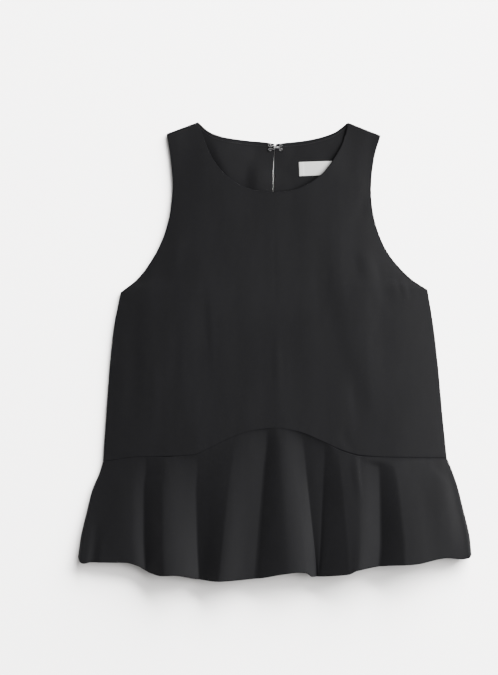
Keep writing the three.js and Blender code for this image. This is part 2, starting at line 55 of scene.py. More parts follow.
# The bodice's outline, x and y: up each side to the underarm, the armhole, shoulder and neck.
LEFT_SIDE = ((-226.6, -145.8), (-222.1, -80.7), (-217, -13), (-211.6, 35.6), (-203.4, 77.2))
RIGHT_SIDE = ((227, -141), (221, -80.7), (215.2, -17.3), (208.9, 35.6), (201.6, 80.6))
LEFT_ARMHOLE = (
    (-203.4, 77.2), (-180, 96), (-157.4, 127.9), (-142.2, 164.5), (-134.8, 212.4),
    (-137.6, 254.6), (-142.6, 286.6),
)
RIGHT_ARMHOLE = (
    (201.6, 80.6), (178.4, 96.2), (150.1, 127.9), (133.8, 164.5), (127.2, 206),
    (131.2, 254.6), (139.7, 283.9),
)
LEFT_SHOULDER = ((-142.6, 286.6), (-101.4, 301.9))
RIGHT_SHOULDER = ((96.6, 301.4), (139.7, 283.9))
FRONT_NECK = (
    (-101.4, 301.9), (-92, 276), (-79, 249), (-56, 224.6), (-27, 211.8),
    (2, 209.2), (30, 213.8), (58, 229.6), (77, 252), (91, 278), (96.6, 301.4),
)
BACK_NECK_LEFT = (
    (-101.4, 301.9), (-86.8, 289.4), (-71, 282.9), (-39.3, 277.7), (-12, 275.2), (0.7, 273),
)
BACK_NECK_RIGHT = (
    (0.7, 273), (13, 274.4), (39.9, 277.4), (63.6, 282.6), (81, 289.4), (96.6, 301.4),
)

# The slit down the centre back, as y and width, and how far beside it the cloth gives way.
SLIT = (
    (201, 0), (210, 0.9), (226, 1.3), (243, 1.15), (257, 0.5), (267.5, 0.35),
    (273, 2.6),
)
SLIT_EASE = 16

# The waist seams, x and y: the front one arches up, the back one is almost straight.
FRONT_WAIST = (
    (-226.6, -145.8), (-180, -139.4), (-140, -138.4), (-108, -136.4), (-86, -127.4),
    (-58, -113.8), (-30, -104.4), (0, -101), (30, -105.6), (62, -118.6),
    (90, -131.2), (114, -137.4), (160, -139.6), (227, -141),
)
WAIST_LEFT = FRONT_WAIST[0][0]
WAIST_RIGHT = FRONT_WAIST[-1][0]
WAIST_MIDDLE = (WAIST_LEFT + WAIST_RIGHT) / 2
BACK_WAIST = (
    (-226.6, -145.8), (-110, -139), (0, -136), (110, -138), (227, -141),
)

# The peplum's outline, x and y: down each side fold and along the hems.
LEFT_FLARE = (
    (-226.6, -145.8), (-231.8, -162.5), (-239.6, -180), (-247.5, -210), (-255.1, -241.7),
    (-259.4, -271),
)
RIGHT_FLARE = (
    (227, -141), (235.7, -162.5), (242, -182), (249, -210), (256.5, -241.7),
    (259.4, -268),
)
FRONT_HEM = (
    (-259.4, -271), (-256.4, -277.6), (-251, -279.8), (-242, -278), (-196, -278.2),
    (-180.4, -282.3), (-164.6, -291.2), (-148.8, -294.8), (-132.9, -294.4), (-101.2, -299.9),
    (-77.5, -302), (-22, -298.7), (9.6, -292.9), (30, -290.4), (41.3, -291.2),
    (49.2, -296.4), (80.9, -294.6), (96.8, -292.7), (108, -287.8), (150, -281.5),
    (183.9, -279.6), (227, -272), (246, -273.9), (256, -272.4), (259.4, -268),
)
BACK_HEM = (
    (-259.4, -271), (-250, -273.6), (-160, -278), (-60, -287), (20, -286),
    (110, -280), (200, -271), (250, -268.8), (259.4, -268),
)

# The front peplum's valleys and crests: x at the seam and at the hem, height at the hem, how
# far down each begins, and how even the slope up to the next one is, both from 0 to 1.
FRONT_FOLDS = (
    (-225, -254.4, 10.3, 0, 0), (-183.5, -186, 13.8, 0, 0),
    (-169, -169.5, 10.8, 0, 0.6), (-144, -145, 22, 0, 0),
    (-102.5, -99.5, 10.8, 0, 0.85), (-52, -74, 21.6, 0, 0),
    (-9.5, -25.5, 12.4, 0, 0), (5, 19, 21.6, 0, 0),
    (35, 55, 10.8, 0, 0), (65, 57, 12.2, 0, 0.4),
    (82, 97, 21.6, 0, 0), (108, 108, 22.4, 0.02, 0),
    (135, 137, 13.4, 0.04, 0.4), (154, 170, 22.9, 0.04, 0.7),
    (225.4, 254.4, 10.3, 0, 0),
)
# Below 1, the folds deepen fast under the seam and slowly further down.
FOLD_GROWTH = 0.48
# At 1 a valley is a sharp V, at 0 a smooth dip.
VALLEY_SHARPNESS = 0.7
# A fold that begins lower down sets in softly between these multiples of its beginning.
FOLD_ONSET = (0.6, 2.4)

# Low ridges that lift the back peplum: x at the seam and at the hem, half width and lift.
BACK_RIDGES = (
    (-150, -146, 30, 2.2), (-62, -68, 34, 2.2), (12, 18, 28, 2.0), (86, 96, 34, 2.2),
    (160, 172, 30, 2.2),
)

# Soft troughs and ridges of the cloth: from x and y, to x and y, how far the line bows to its
# right, half width at each end, lift, and how far the crest leans to its right, -1 to 1.
FRONT_CREASES = (
    (-101, 104, -95, -44, 0, 15, 17, -0.66, -0.42),
    (-122, 168, -134, 84, 0, 15, 17, 0.5, 0.2),
    (-130, 60, -138, -96, 0, 13, 15, -0.5, -0.2),
    (-178, 66, -190, -130, 0, 15, 18, -0.6, 0),
    (-156, 40, -160, -140, 0, 10, 12, 0.35, 0),
    (-1, 206, 1, 10, 0, 4, 4, -0.12, 0),
    (0, 44, 6, -92, 0, 8, 10, 0.3, -0.2),
    (92, 160, 128, -100, 0, 40, 32, 1.2, 0.25),
    (102, 0, 118, -112, 0, 20, 18, -0.7, 0.2),
    (112, 146, 130, 84, 0, 16, 16, 0.6, 0),
    (140, 130, 164, 40, 4, 18, 20, -0.5, 0.2),
    (158, 106, 170, 58, 0, 6, 7, -0.24, 0),
    (173, 102, 182, 60, 0, 5, 6, -0.16, 0),
    (124, 214, 106, 160, 0, 12, 14, -0.4, 0),
    (82, -92, 104, -140, 0, 12, 9, -0.35, 0),
)
FRONT_PEPLUM_CREASES = (
    (102, -116, 110, -206, 0, 8, 8, 0.6, -0.3),
    (-230, -206, -246, -346, 0, 10, 9, -1.6, 0.2),
    (204, -120, 236, -310, 0, 24, 30, 1.7, -0.25),
    (200, -136, 238, -176, 0, 10, 10, -0.35, 0.2),
)
BACK_CREASES = (
    (-13, 264, -14, 182, 0, 24, 28, 2.0, 0.3),
    (-80, 314, -29, 204, 0, 33, 33, 2.2, 0.5),
    (-120, 70, -112, -118, 0, 26, 30, 1.5, 0.2),
    (96, 96, 112, -96, 0, 24, 30, 1.7, -0.2),
    (12, 60, 2, -126, 0, 22, 28, 1.2, 0),
    (-176, 66, -184, -70, 0, 15, 17, 0.8, 0),
)

# Unevenness of the cloth: puckers near the waist seam, ripples of the front as height, length and
# stretch along the grain, ripples of the back, and the width of the calm cloth beside a fold.
PUCKERS = {"height": 0.05, "length": 15, "reach": 9}
FRONT_RIPPLES = ((0.14, 52, 4), (0.02, 17, 3))
BACK_RIPPLES = {"height": 0.3, "length": 60}
CALM_WIDTH = 14

# How each wave of that unevenness differs from the one before: its turn, length and phase.
WAVE_TURN = 2.4
WAVE_SHORTEST = 0.7
WAVE_STEP = 0.62
WAVE_SPREAD = 0.6
WAVE_PHASE = 1.7

# Share of the height where the armhole begins, and where the neck ends: in front as x of the
# column at the waist, at the back as shares of the width. Then each panel's length for its rows.
UNDERARM = 0.5
FRONT_SHOULDERS = (-172.5, 162.0)
BACK_SHOULDERS = (4 / 32, 28 / 32)
BODICE_LENGTH = 385
PEPLUM_LENGTH = 150

# The largest step of each panel's grid, across and along.
FRONT_BODICE_GRID = (2.6, 2.5)
BACK_BODICE_GRID = (3.2, 3.2)
FRONT_PEPLUM_GRID = (1.9, 2.2)
BACK_PEPLUM_GRID = (3.0, 3.2)

# Distances from an edge: one up to which it is measured straight across, one past them all, and
# a margin for rounding.
NEAR = 16
FAR = 99.0
TINY = 1e-9

# Distances from an edge at which the cloth has its close rows, for rolls and rounded rims.
CLOSE_ROWS = (0.0, 0.08, 0.25, 0.5, 0.85, 1.25, 1.7, 2.4, 3.4, 5.0)
STITCHED_ROWS = CLOSE_ROWS[:-2] + (3.4, 4.1, 4.6, 5.1, 6.0)

# How round the cloth turns down at the sewn seams: x and radius.
SEAM_ROLLS = (
    (-227, 1.0), (-110, 1.1), (-80, 1.0), (-50, 0.35), (-14, 0.3), (16, 0.5), (60, 1.0),
    (110, 1.3), (140, 0.6), (227, 0.4),
)

# Radius of the rim at a turned edge, and how far from an edge the cloth is rubbed pale.
RIM = WALL / 2 * 0.92
WORN_REACH = 1.3

# Turned-in cloth on the inner side: how deep it reaches from the edge, how thick it is, and how
# softly it begins and ends.
SEAM_ALLOWANCE = {"starts": 2.4, "depth": 9.0, "thickness": 0.3}
HEM_ALLOWANCE = {"starts": 0.4, "depth": 14.0, "thickness": 0.4}
ALLOWANCE_RISE = 1.4
ALLOWANCE_FALL = 1.2

# Sewing thread: radius, the length of a stitch and the distance from one to the next.
NECK_STITCHES = {"radius": 0.17, "length": 2.0, "pitch": 2.6, "below_edge": 4.6, "clear": 5.0}
LABEL_STITCHES = {"radius": 0.14, "length": 1.7, "pitch": 2.3, "from_end": 1.3, "count": 7}
BAR_TACK = {"radius": 0.16, "width": 4.2, "count": 7, "pitch": 0.42, "below_slit": 2.2}
THREAD_SIDES = 6

# A stitch: shares of its length, and its rise in thread radii, which is into the cloth at the ends.
STITCH_ROUTE = ((0.0, -0.9), (0.08, 0.5), (0.3, 1.0), (0.7, 1.0), (0.92, 0.5), (1.0, -0.9))
# A thread of the bar tack: shares of half its width, and its height above the cloth.
TACK_ROUTE = ((-1.0, -0.15), (-0.8, 0.12), (0.0, 0.2), (0.8, 0.12), (1.0, -0.15))

# The whipping over a ring: how far it reaches from the wire's middle, the angle of its first
# thread, the turn to the next, how far each leans, its slack round the wire and how deep it
# goes into the cloth.
RING_STITCHES = {
    "radius": 0.2, "count": 9, "reach": 1.15, "first": -108, "turn": 27, "lean": 0.3,
    "slack": 0.25, "sunk": 0.2,
}

LABEL = {"x": 58.0, "y": 240.6, "width": 52.0, "length": 18.5, "turn": 2.0}
LABEL_REST = 0.06
LABEL_THICKNESS = 0.5
LABEL_RIM = 0.22
LABEL_STEP = 0.9
# What is folded under at each end: its thickness, where it tapers off and the grid's stop there.
LABEL_FOLD = 0.35
LABEL_TAPER = (5.6, 6.6)
LABEL_PLAIN = 6.5
# How the label is raised between its ends: height, how narrow the rise is, and its fall at the
# upper and lower edge.
LABEL_BELLY = {"height": 0.7, "narrow": 1.9, "fall": 0.25}

# The hook and eye, of round wire of this radius.
WIRE = 0.45
WIRE_SIDES = 12
WIRE_POINTS = 260
BEND_POINTS = 7
FASTENING = {"y": 268.2, "ring": 1.5, "ring_offset": 2.7}
EYE = {"ring_x": -6.6, "loop_x": -1.2, "loop_half_width": 2.4, "bar_x": 0.4}
HOOK = {"ring_x": 8.0, "neck_x": 5.2, "nose_x": -0.2, "tip_x": 3.4, "half_pitch": 0.6}

# Heights of the middle of the wire: at the rings, at the eye's bar and at the hook's bill.
BASE_Z = WALL + SEAM_GAP + WIRE
WIRE_STEP = 2 * WIRE + SEAM_GAP
BAR_Z = BASE_Z + WIRE_STEP
BILL_Z = BAR_Z + WIRE_STEP

UP = np.array((0.0, 0.0, 1.0))

# Blender's band pattern repeats after this length at a scale of 1.
BAND_PERIOD = math.pi / 10
# From one ply of a thread to the next and how far they lean, and between ribs and yarns of satin.
PLY_PITCH = 0.65345
PLY_LEAN = 35
RIB_PITCH = 0.91892
YARN_PITCH = 0.61261

# Colours, and the gloss of the two threads after their darkest and palest colour.
CREPE = {
    "deep": (0.0033, 0.0032, 0.0041, 1), "even": (0.0047, 0.0046, 0.0057, 1),
    "raised": (0.009, 0.0088, 0.0105, 1), "crinkled": (0.0088, 0.0086, 0.0104, 1),
}
SATIN = {
    "clean": (0.93, 0.93, 0.91, 1), "soiled": (0.89, 0.89, 0.87, 1), "ribs": (0.7, 0.7, 0.685, 1),
}
NICKEL = {"bright": (0.62, 0.62, 0.63, 1), "tarnished": (0.42, 0.41, 0.40, 1)}
BLACK_THREAD = ((0.004, 0.004, 0.005, 1), (0.02, 0.02, 0.023, 1), 0.4)
WHITE_THREAD = ((0.55, 0.55, 0.53, 1), (0.82, 0.82, 0.8, 1), 0.5)
FLOOR_MOTTLE = ((0.80, 0.785, 0.775, 1), (0.81, 0.795, 0.785, 1))

# The lamps, the floor and the camera, in metres, and the camera's lens in millimetres.
WINDOW = {"place": (6.0, 2.4, 4.8), "size": (7, 6), "glow": 12}
FLOOR_LIGHT = {"place": (4.4, 6.2, 2.1), "size": (9, 4.2), "glow": 148}
ROOM_LIGHT = {"color": (1.0, 0.995, 0.99, 1), "strength": 0.5}
FLOOR = {"half_width": 6, "drop": 0.0002}
CAMERA = {"place": (-0.0339, 0.0177, 2.4), "lens": 97}


# Lines and surfaces.


def smooth(value, low, high):
    """0 below low, 1 above high and a soft step between them."""
    share = np.clip((value - low) / (high - low), 0, 1)
    return share * share * (3 - 2 * share)


def hump(distance):
    """Height 1 at 0, falling softly to 0 at a distance of 1."""
    return np.cos(np.pi / 2 * np.clip(distance, -1, 1)) ** 2


def hermite(start, end, start_slope, end_slope, t):
    """A curve from start to end that leaves and arrives with the two slopes."""
    rising = t * t * (3 - 2 * t)
    slopes = t * (1 - t) ** 2 * start_slope - t * t * (1 - t) * end_slope
    return (1 - rising) * start + rising * end + slopes


def through(rows, position, of=1):
    """Reads a smooth line through a table's rows that never overshoots them."""
    at = np.array([row[0] for row in rows], float)
    value = np.array([row[of] for row in rows], float)
    step = np.diff(at)
    slopes = np.diff(value) / step
    product = slopes[:-1] * slopes[1:]
    total = slopes[:-1] + slopes[1:]
    mean = np.where(product > 0, 2 * product / np.where(total == 0, 1, total), 0)
    tangents = np.concatenate((slopes[:1], mean, slopes[-1:]))
    i = np.clip(np.searchsorted(at, position, side="right") - 1, 0, len(step) - 1)
    t = np.clip((position - at[i]) / step[i], 0, 1)
    return hermite(value[i], value[i + 1], step[i] * tangents[i], step[i] * tangents[i + 1], t)


def line_of(rows, samples=24):
    """A rounded line through points, read by shares of its length."""
    points = np.array(rows, float)
    ends = (2 * points[:1] - points[1:2], 2 * points[-1:] - points[-2:-1])
    points = np.vstack((ends[0], points, ends[1]))
    t = np.linspace(0, 1, samples, endpoint=False)[:, None]
    parts = []
    for before, start, end, after in zip(points, points[1:], points[2:], points[3:]):
        d0 = np.linalg.norm(start - before) ** 0.5
        d1 = np.linalg.norm(end - start) ** 0.5
        d2 = np.linalg.norm(after - end) ** 0.5
        slope = (start - before) / d0 - (end - before) / (d0 + d1) + (end - start) / d1
        next_slope = (end - start) / d1 - (after - start) / (d1 + d2) + (after - end) / d2
        parts.append(hermite(start, end, slope * d1, next_slope * d1, t))
    line = np.vstack((*parts, points[-2:-1]))
    length = np.concatenate(((0,), np.cumsum(np.linalg.norm(np.diff(line, axis=0), axis=1))))

    def read(shares):
        places = np.clip(shares, 0, 1) * length[-1]
        return np.stack([np.interp(places, length, column) for column in line.T], axis=-1)

    return read


def joined(lines, ends):
    """Several lines end to end, each reaching up to its own end."""

    def read(shares):
        result = lines[0](shares / ends[0])
        for line, start, end in zip(lines[1:], ends, ends[1:]):
            part = line((shares - start) / (end - start))
            result = np.where((shares > start)[:, None], part, result)
        return result

    return read


def stretched(bottom, top, left, right, us, vs):
    """Positions stretched between four edges that share their corners, row by row."""
    u = us[None, :, None]
    v = vs[:, None, None]
    ends = np.array((0.0, 1.0))
    across = (1 - v) * bottom(us)[None] + v * top(us)[None]
    along = (1 - u) * left(vs)[:, None] + u * right(vs)[:, None]
    low = (1 - u) * bottom(ends)[0] + u * bottom(ends)[1]
    high = (1 - u) * top(ends)[0] + u * top(ends)[1]
    return across + along - (1 - v) * low - v * high


def stepped(stops, step):
    """Even steps of at most one size between stops, which are all kept."""
    parts = [[stops[0]]]
    for start, end in zip(stops, stops[1:]):
        count = max(1, math.ceil((end - start) / step))
        parts.append(np.linspace(start, end, count + 1)[1:])
    return np.concatenate(parts)


def facing(point):
    """The way out of a surface, upwards, from the slopes of its grid."""
    across = np.gradient(point, axis=1)
    along = np.gradient(point, axis=0)
    out = np.cross(across, along)
    out /= np.linalg.norm(out, axis=-1, keepdims=True)
    return out * np.sign(out[..., 2:])


def inset(plan, edge, axis):
    """How far inside one edge of its plan each point lies."""
    tangent = np.gradient(edge, axis=0)
    tangent /= np.linalg.norm(tangent, axis=1, keepdims=True)
    edge = np.expand_dims(edge, axis)
    tangent = np.expand_dims(tangent, axis)
    away = plan - edge
    far = np.linalg.norm(away, axis=-1)
    near = np.abs(away[..., 0] * tangent[..., 1] - away[..., 1] * tangent[..., 0])
    return np.where(far < NEAR, near, far)


def creases(table, x, y):
    """Height that a table of soft troughs and ridges adds to the cloth."""
    height = np.zeros_like(x)
    for from_x, from_y, to_x, to_y, bow, width, end_width, lift, lean in table:
        run_x, run_y = to_x - from_x, to_y - from_y
        length = math.hypot(run_x, run_y)
        along = ((x - from_x) * run_x + (y - from_y) * run_y) / length**2
        across = ((x - from_x) * run_y - (y - from_y) * run_x) / length
        share = np.clip(along, 0, 1)
        across = (across - 4 * bow * share * (1 - share)) / (width + (end_width - width) * share)
        across = (across - lean) / (1 - lean * np.sign(across - lean))
        height += lift * hump(across) * hump(2 * along - 1)
    return height


def waves(x, y, size, count=7):
    """Unevenness of about 1 from a few waves about one size long, each its own way."""
    total = np.zeros_like(x)
    for i in range(count):
        turn = WAVE_TURN * i
        length = size * (WAVE_SHORTEST + WAVE_STEP * i % WAVE_SPREAD)
        across = x * math.cos(turn) + y * math.sin(turn)
        total += np.sin(2 * np.pi * across / length + WAVE_PHASE * i * i)
    return total / math.sqrt(count)


# The garment's shape.


def share_of(x):
    """A position's share of the way across the waist."""
    return (np.asarray(x, float) - WAIST_LEFT) / (WAIST_RIGHT - WAIST_LEFT)


def seam_line(rows):
    """The waist seam in plan, read by its share across."""
    left, right = rows[0][0], rows[-1][0]

    def read(shares):
        x = left + (right - left) * shares
        return np.stack((x, through(rows, x)), axis=-1)

    return read


def shoulder(line):
    """A shoulder seam's way out in plan, and how far below it positions lie."""
    (from_x, from_y), (to_x, to_y) = line
    length = math.hypot(to_x - from_x, to_y - from_y)
    outward = np.array((-(to_y - from_y) / length, (to_x - from_x) / length, 0))

    def below(x, y):
        return (from_x - x) * outward[0] + (from_y - y) * outward[1]

    return outward, below


LEFT_TOP, below_left = shoulder(LEFT_SHOULDER)
RIGHT_TOP, below_right = shoulder(RIGHT_SHOULDER)

# The bodice's two sides with their armholes, as y and x.
LEFT_EDGE = tuple((y, x) for x, y in (*LEFT_SIDE, *LEFT_ARMHOLE[1:]))
RIGHT_EDGE = tuple((y, x) for x, y in (*RIGHT_SIDE, *RIGHT_ARMHOLE[1:]))


def swell(x, y):
    """How far the front stands above its rim."""
    left, right = through(LEFT_EDGE, y), through(RIGHT_EDGE, y)
    share = np.clip((2 * x - left - right) / (right - left), -1, 1)
    across = 1 - np.abs(share) ** SWELL_POWER
    below = np.minimum(below_left(x, y), below_right(x, y))
    return through(SWELL, y) * across * smooth(below, 0, SHOULDER_FADE)


def fold_over(point, out, inward, radius, sideways, up):
    """Turns cloth over a fold at an edge, and gives its distance from the seam in the fold."""
    lean = np.arcsin(np.clip(1 - inward / radius, 0, 1))
    point += up * ((radius + SEAM_GAP / 2) * (np.cos(lean) - 1))[..., None]
    out *= np.cos(lean)[..., None]
    out += sideways * np.sin(lean)[..., None]
    out /= np.linalg.norm(out, axis=-1, keepdims=True)
    return radius * (np.pi / 2 - lean) + np.maximum(inward - radius, 0)


def rounded(distance, radius):
    """How far a rounded edge falls back at a distance from its end."""
    short = np.clip(radius - distance, 0, radius)
    return radius - np.sqrt(radius**2 - short**2)


def bodice_plan(waist, necklines, ends, us, vs):
    """A bodice's grid in plan, between its sides, its waist and its shoulders and neck."""
    left = joined([line_of(LEFT_SIDE), line_of(LEFT_ARMHOLE)], [UNDERARM, 1])
    right = joined([line_of(RIGHT_SIDE), line_of(RIGHT_ARMHOLE)], [UNDERARM, 1])
    lines = [line_of(rows) for rows in (LEFT_SHOULDER, *necklines, RIGHT_SHOULDER)]
    top = joined(lines, [*ends, 1])
    return stretched(seam_line(waist), top, left, right, us, vs)


def bodice_rows(step):
    """Rows of a bodice, close together at its lower and its upper edge."""
    close = np.array(CLOSE_ROWS) / BODICE_LENGTH
    top = np.array(STITCHED_ROWS) / BODICE_LENGTH
    stops = (close[-1], UNDERARM, 1 - top[-1])
    return np.concatenate((close[:-1], stepped(stops, step / BODICE_LENGTH), 1 - top[-2::-1]))


def columns(stops, step):
    """Columns of a panel, close together at its two sides."""
    close = np.array(CLOSE_ROWS)
    middle = stepped((WAIST_LEFT + close[-1], *stops, WAIST_RIGHT - close[-1]), step)
    sides = (WAIST_LEFT + close[:-1], WAIST_RIGHT - close[-2::-1])
    return share_of(np.concatenate((sides[0], middle, sides[1])))


def fold_bodice(point, out, plan, us, vs, ends, up):
    """Folds a bodice over at its sides and shoulders, and measures from sewn and turned edges."""
    side = (vs <= UNDERARM + TINY)[:, None]
    sewn = inset(plan, plan[0], 0)
    turned = np.full_like(sewn, FAR)
    for edge, sideways in ((0, -1.0), (-1, 1.0)):
        depth = inset(plan, plan[:, edge], 1)
        lying = np.where(side, depth, FAR)
        away = fold_over(point, out, lying, SEAM_FOLD, np.array((sideways, 0, 0)), up)
        sewn = np.minimum(sewn, away)
        turned = np.minimum(turned, np.where(side, FAR, depth))
    x, y = plan[..., 0], plan[..., 1]
    at_left = (us <= ends[0] + TINY)[None]
    at_right = (us >= ends[1] - TINY)[None]
    for at, outward, below in ((at_left, LEFT_TOP, below_left), (at_right, RIGHT_TOP, below_right)):
        lying = np.where(at, below(x, y), FAR)
        sewn = np.minimum(sewn, fold_over(point, out, lying, SEAM_FOLD, outward, up))
    neck = np.where(at_left | at_right, FAR, inset(plan, plan[-1], 0))
    return sewn, np.minimum(turned, neck)


def seam_relief(x, y):
    """Unevenness of the front cloth, the same on both sides of the waist seam."""
    above = y - through(FRONT_WAIST, x)
    near_seam = np.exp(-((above / PUCKERS["reach"]) ** 2))
    relief = PUCKERS["height"] * (waves(x, 0 * x, PUCKERS["length"]) * near_seam)
    for height, length, stretch in FRONT_RIPPLES:
        relief += height * waves(x, y / stretch, length)
    return relief


def calm(distance):
    """Fades unevenness out at the folded edges."""
    return smooth(distance, 0, CALM_WIDTH)


def from_sides(plan):
    """How far each point of a plan lies from its nearer side."""
    return np.minimum(inset(plan, plan[:, 0], 1), inset(plan, plan[:, -1], 1))


def front_bodice_shape():
    """Outer points of the front bodice, their ways out and distances from its edges."""
    ends = share_of(FRONT_SHOULDERS)
    us = columns(FRONT_SHOULDERS, FRONT_BODICE_GRID[0])
    vs = bodice_rows(FRONT_BODICE_GRID[1])
    plan = bodice_plan(FRONT_WAIST, [FRONT_NECK], ends, us, vs)
    x, y = plan[..., 0], plan[..., 1]
    inward = from_sides(plan)
    height = swell(x, y) + (creases(FRONT_CREASES, x, y) + seam_relief(x, y)) * calm(inward)
    point = np.dstack((x, y, 2 * SEAM_FOLD + SEAM_GAP + height))
    out = facing(point)
    sewn, turned = fold_bodice(point, out, plan, us, vs, ends, UP)
    return point, out, sewn, turned


def back_bodice_columns():
    """Columns of the back bodice, close together beside the slit too."""
    close = np.array(CLOSE_ROWS)
    beside_slit = (*(WAIST_MIDDLE - close[::-1]), *(WAIST_MIDDLE + close[1:]))
    shoulders = [WAIST_LEFT + end * (WAIST_RIGHT - WAIST_LEFT) for end in BACK_SHOULDERS]
    return columns((shoulders[0], *beside_slit, shoulders[1]), BACK_BODICE_GRID[0])


def open_slit(point, turned, plan, us):
    """Draws the cloth apart at the slit, and tells where the slit lies in the grid."""
    x, y = plan[..., 0], plan[..., 1]
    centre = int(np.argmin(np.abs(us - 0.5)))
    away = np.abs(x - x[:, centre:centre + 1])
    side = np.sign(np.arange(len(us)) - centre)[None]
    above_foot = y > SLIT[0][0]
    half_width = through(SLIT, y) / 2 * above_foot
    turned = np.minimum(turned, np.where(above_foot, away, FAR))
    point[..., 0] += side * half_width * (1 - smooth(away, 0, SLIT_EASE))
    foot = int(np.searchsorted(y[:, centre], SLIT[0][0]))
    return turned, {"column": centre, "foot": foot, "half_width": half_width[:, centre]}


def back_bodice_shape():
    """The same for the back bodice, which faces down, with the place of its slit."""
    us = back_bodice_columns()
    vs = bodice_rows(BACK_BODICE_GRID[1])
    necklines = [BACK_NECK_LEFT, BACK_NECK_RIGHT]
    ends = (BACK_SHOULDERS[0], 0.5, BACK_SHOULDERS[1])
    plan = bodice_plan(BACK_WAIST, necklines, ends, us, vs)
    x, y = plan[..., 0], plan[..., 1]
    ripples = np.maximum(waves(x, y, BACK_RIPPLES["length"]), 0) * BACK_RIPPLES["height"]
    lift = creases(BACK_CREASES, x, y) + ripples * calm(from_sides(plan))
    point = np.dstack((x, y, lift))
    out = -facing(point)
    sewn, turned = fold_bodice(point, out, plan, us, vs, BACK_SHOULDERS, -UP)
    turned, slit = open_slit(point, turned, plan, us)
    return point, out, sewn, turned, slit


def peplum_plan(waist, hem, folds, us, vs):
    """A peplum's grid in plan, whose columns run along its folds."""
    left, right = waist[0][0], waist[-1][0]
    across = ((left, hem[0][0]), *[fold[:2] for fold in folds], (right, hem[-1][0]))

    def hem_line(shares):
        x = through(across, left + (right - left) * shares)
        return np.stack((x, through(hem, x)), axis=-1)

    return stretched(seam_line(waist), hem_line, line_of(LEFT_FLARE), line_of(RIGHT_FLARE), us, vs)


def peplum_rows(step):
    """Rows of a peplum, close together at its seam and its hem."""
    close = np.array(CLOSE_ROWS) / PEPLUM_LENGTH
    stops = (close[-1], 1 - close[-1])
    return np.concatenate((close[:-1], stepped(stops, step / PEPLUM_LENGTH), 1 - close[-2::-1]))


def fold_at(seam_x):
    """Height of the front peplum at the hem above its rim, and where its folds begin."""
    at, _, tops, starts, even = (np.array(column) for column in zip(*FRONT_FOLDS))
    i = np.clip(np.searchsorted(at, seam_x, side="right") - 1, 0, len(at) - 2)
    t = np.clip((seam_x - at[i]) / (at[i + 1] - at[i]), 0, 1)
    rising = tops[i] < tops[i + 1]
    along = np.where(rising, t, 1 - t)
    rise = smooth(along, 0, 1)
    rise += VALLEY_SHARPNESS * (np.sin(np.pi / 2 * along) - rise)
    rise += even[i] * (along - rise)
    valley = np.minimum(tops[i], tops[i + 1])
    crest = np.maximum(tops[i], tops[i + 1])
    height = valley + (crest - valley) * rise - 2 * HEM_FOLD - SEAM_GAP
    return height, starts[i] + (starts[i + 1] - starts[i]) * t


def fold_peplum(point, out, plan, vs, up):
    """Folds a peplum over at its two sides, and measures from its sewn edges and its hem."""
    radius = (SEAM_FOLD + (HEM_FOLD - SEAM_FOLD) * vs)[:, None]
    sewn = inset(plan, plan[0], 0)
    for edge, sideways in ((0, -1.0), (-1, 1.0)):
        depth = np.abs(plan[..., 0] - plan[:, edge, 0][:, None])
        away = fold_over(point, out, depth, radius, np.array((sideways, 0, 0)), up)
        sewn = np.minimum(sewn, away)
    return sewn, inset(plan, plan[-1], 0)


def front_peplum_shape():
    """The same for the front peplum, with its flutes."""
    us = columns([fold[0] for fold in FRONT_FOLDS[1:-1]], FRONT_PEPLUM_GRID[0])
    vs = peplum_rows(FRONT_PEPLUM_GRID[1])
    plan = peplum_plan(FRONT_WAIST, FRONT_HEM, FRONT_FOLDS, us, vs)
    x, y = plan[..., 0], plan[..., 1]
    v = vs[:, None]
    seam = plan[0]
    fold_height, start = fold_at(seam[:, 0])
    grown = (np.maximum(v - start, 0) / (1 - start)) ** FOLD_GROWTH
    grown *= smooth(v, FOLD_ONSET[0] * start, FOLD_ONSET[1] * start + TINY)
    at_seam = swell(seam[:, 0], seam[:, 1])
    radius = SEAM_FOLD + (HEM_FOLD - SEAM_FOLD) * v
    height = at_seam + (fold_height - at_seam) * grown
    height += (creases(FRONT_PEPLUM_CREASES, x, y) + seam_relief(x, y)) * calm(from_sides(plan))
    point = np.dstack((x, y, 2 * radius + SEAM_GAP + height))
    out = facing(point)
    sewn, turned = fold_peplum(point, out, plan, vs, UP)
    return point, out, sewn, turned


def back_peplum_shape():
    """The same for the back peplum, which faces down, with its low ridges."""
    us = columns((), BACK_PEPLUM_GRID[0])
    vs = peplum_rows(BACK_PEPLUM_GRID[1])
    folds = (
        (BACK_WAIST[0][0] + SEAM_FOLD, BACK_HEM[0][0] + HEM_FOLD),
        (BACK_WAIST[-1][0] - SEAM_FOLD, BACK_HEM[-1][0] - HEM_FOLD),
    )
    plan = peplum_plan(BACK_WAIST, BACK_HEM, folds, us, vs)
    x, y = plan[..., 0], plan[..., 1]
    v = vs[:, None]
    lift = np.zeros_like(x)
    for seam_x, hem_x, half_width, rise in BACK_RIDGES:
        lift += rise * v * hump((x - seam_x - (hem_x - seam_x) * v) / half_width)
    point = np.dstack((x, y, lift))
    out = -facing(point)
    sewn, turned = fold_peplum(point, out, plan, vs, -UP)
    return point, out, sewn, turned


# Building meshes.


def new_piece(name, bm, material):
    """Makes a piece of a finished bmesh and fixes it to the garment."""
    mesh = bpy.data.meshes.new(name)
    bm.to_mesh(mesh)
    bm.free()
    mesh.shade_smooth()
    mesh.materials.append(material)
    piece = bpy.data.objects.new(name, mesh)
    bpy.context.scene.collection.objects.link(piece)
    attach(piece, "root")
    return piece


def allowance(distance, turning):
    """How thick the turned-in cloth is at a distance from its edge."""
    starts, depth = turning["starts"], turning["depth"]
    begun = smooth(distance, starts, starts + ALLOWANCE_RISE)
    ended = smooth(distance, depth, depth + ALLOWANCE_FALL)
    return turning["thickness"] * (begun * (1 - ended))


